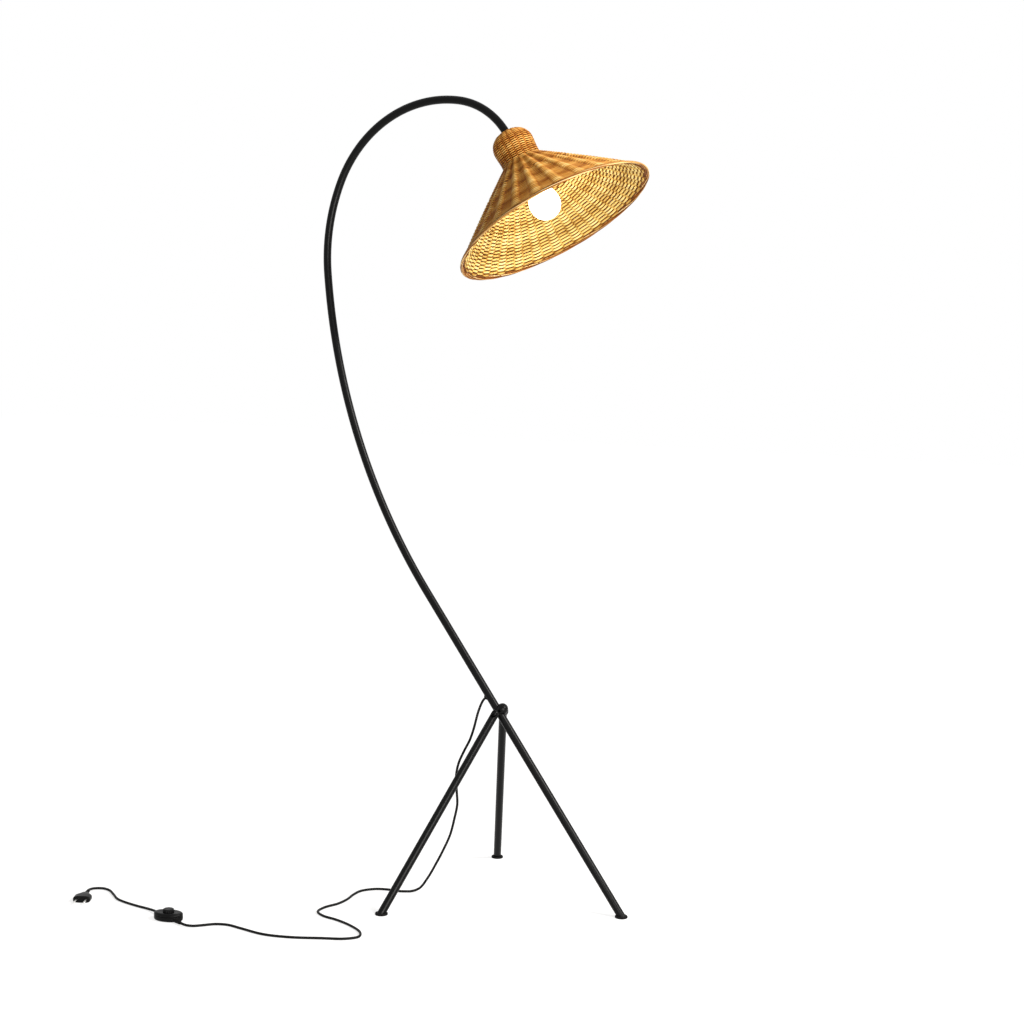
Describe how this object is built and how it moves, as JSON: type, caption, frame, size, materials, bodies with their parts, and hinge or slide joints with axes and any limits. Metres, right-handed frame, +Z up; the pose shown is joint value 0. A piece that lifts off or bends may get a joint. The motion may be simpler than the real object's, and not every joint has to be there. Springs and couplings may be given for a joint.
{
  "type": "floor lamp",
  "caption": "Arched steel tube floor lamp on splayed legs with a woven conical rattan shade, screw-in bulb, and a cord with a foot switch and a plug.",
  "frame": {"origin": "middle of the lamp's own box at floor level, without its free cord", "axes": "+Z up, +X along the floor towards the foot of the arched tube, the arch in the XZ plane"},
  "size_m": [0.9885, 0.7555, 1.596],
  "materials": {
    "black_steel": "satin powder coat",
    "zinc_steel": "zinc plated",
    "contact_brass": "bare",
    "cap_metal": "nickel plated",
    "black_rubber": "matte",
    "cord_sheath": "smooth soft plastic",
    "live_sheath": "smooth soft plastic",
    "black_plastic": "fine matte texture",
    "thermoset": "matte",
    "bulb_plastic": "matte white",
    "bulb_insulation": "black vitreous",
    "opal_glass": "opal, lit from inside",
    "rattan": "varnished woven cane",
    "rattan_border": "varnished cane, wrapped"
  },
  "bodies": {
    "lamp": {"main_tube": "black_steel", "left_leg": "black_steel", "back_leg": "black_steel", "hub_bolt": "black_steel", "hub_nut": "black_steel", "hub_washer": "zinc_steel", "threaded_nipple": "zinc_steel", "jam_nut": "zinc_steel", "cap_nut": "zinc_steel", "shade_carrier": "zinc_steel", "switch_screw_1": "zinc_steel", "switch_screw_2": "zinc_steel", "button_spring": "zinc_steel", "plug_pin_1": "zinc_steel", "plug_pin_2": "zinc_steel", "screw_shell": "contact_brass", "centre_contact": "contact_brass", "live_terminal": "contact_brass", "neutral_terminal": "contact_brass", "front_foot": "black_rubber", "left_foot": "black_rubber", "back_foot": "black_rubber", "cord_grommet": "black_rubber", "lamp_side_relief": "black_rubber", "plug_side_relief": "black_rubber", "plug_relief": "black_rubber", "inner_cable": "cord_sheath", "lamp_cord": "cord_sheath", "plug_cord": "cord_sheath", "lamp_side_lead": "cord_sheath", "plug_side_lead": "cord_sheath", "neutral_core": "cord_sheath", "live_core": "live_sheath", "holder_cap": "black_plastic", "holder_body": "black_plastic", "switch_base": "black_plastic", "switch_cover": "black_plastic", "plug_body": "black_plastic", "contact_carrier": "thermoset", "switch_contact_block": "thermoset", "shade_weave": "rattan", "rim_border": "rattan_border"},
    "bulb": {"bulb_tip_contact": "zinc_steel", "bulb_insulator": "bulb_insulation", "bulb_screw_cap": "cap_metal", "bulb_collar": "bulb_plastic", "bulb_led_board": "bulb_plastic", "bulb_globe": "opal_glass"},
    "button": {"switch_button": "black_plastic"}
  },
  "joints": [
    {"name": "bulb_slide", "type": "slide", "parent": "lamp", "child": "bulb", "axis": [0.5402, 0, -0.8415], "range_m": [0, 0.025]},
    {"name": "button_press", "type": "slide", "parent": "lamp", "child": "button", "axis": [0, 0, -1], "range_m": [0, 0.003], "stiffness_N_per_m": 1200, "springref_m": -0.001, "deforming": ["button_spring"]}
  ]
}
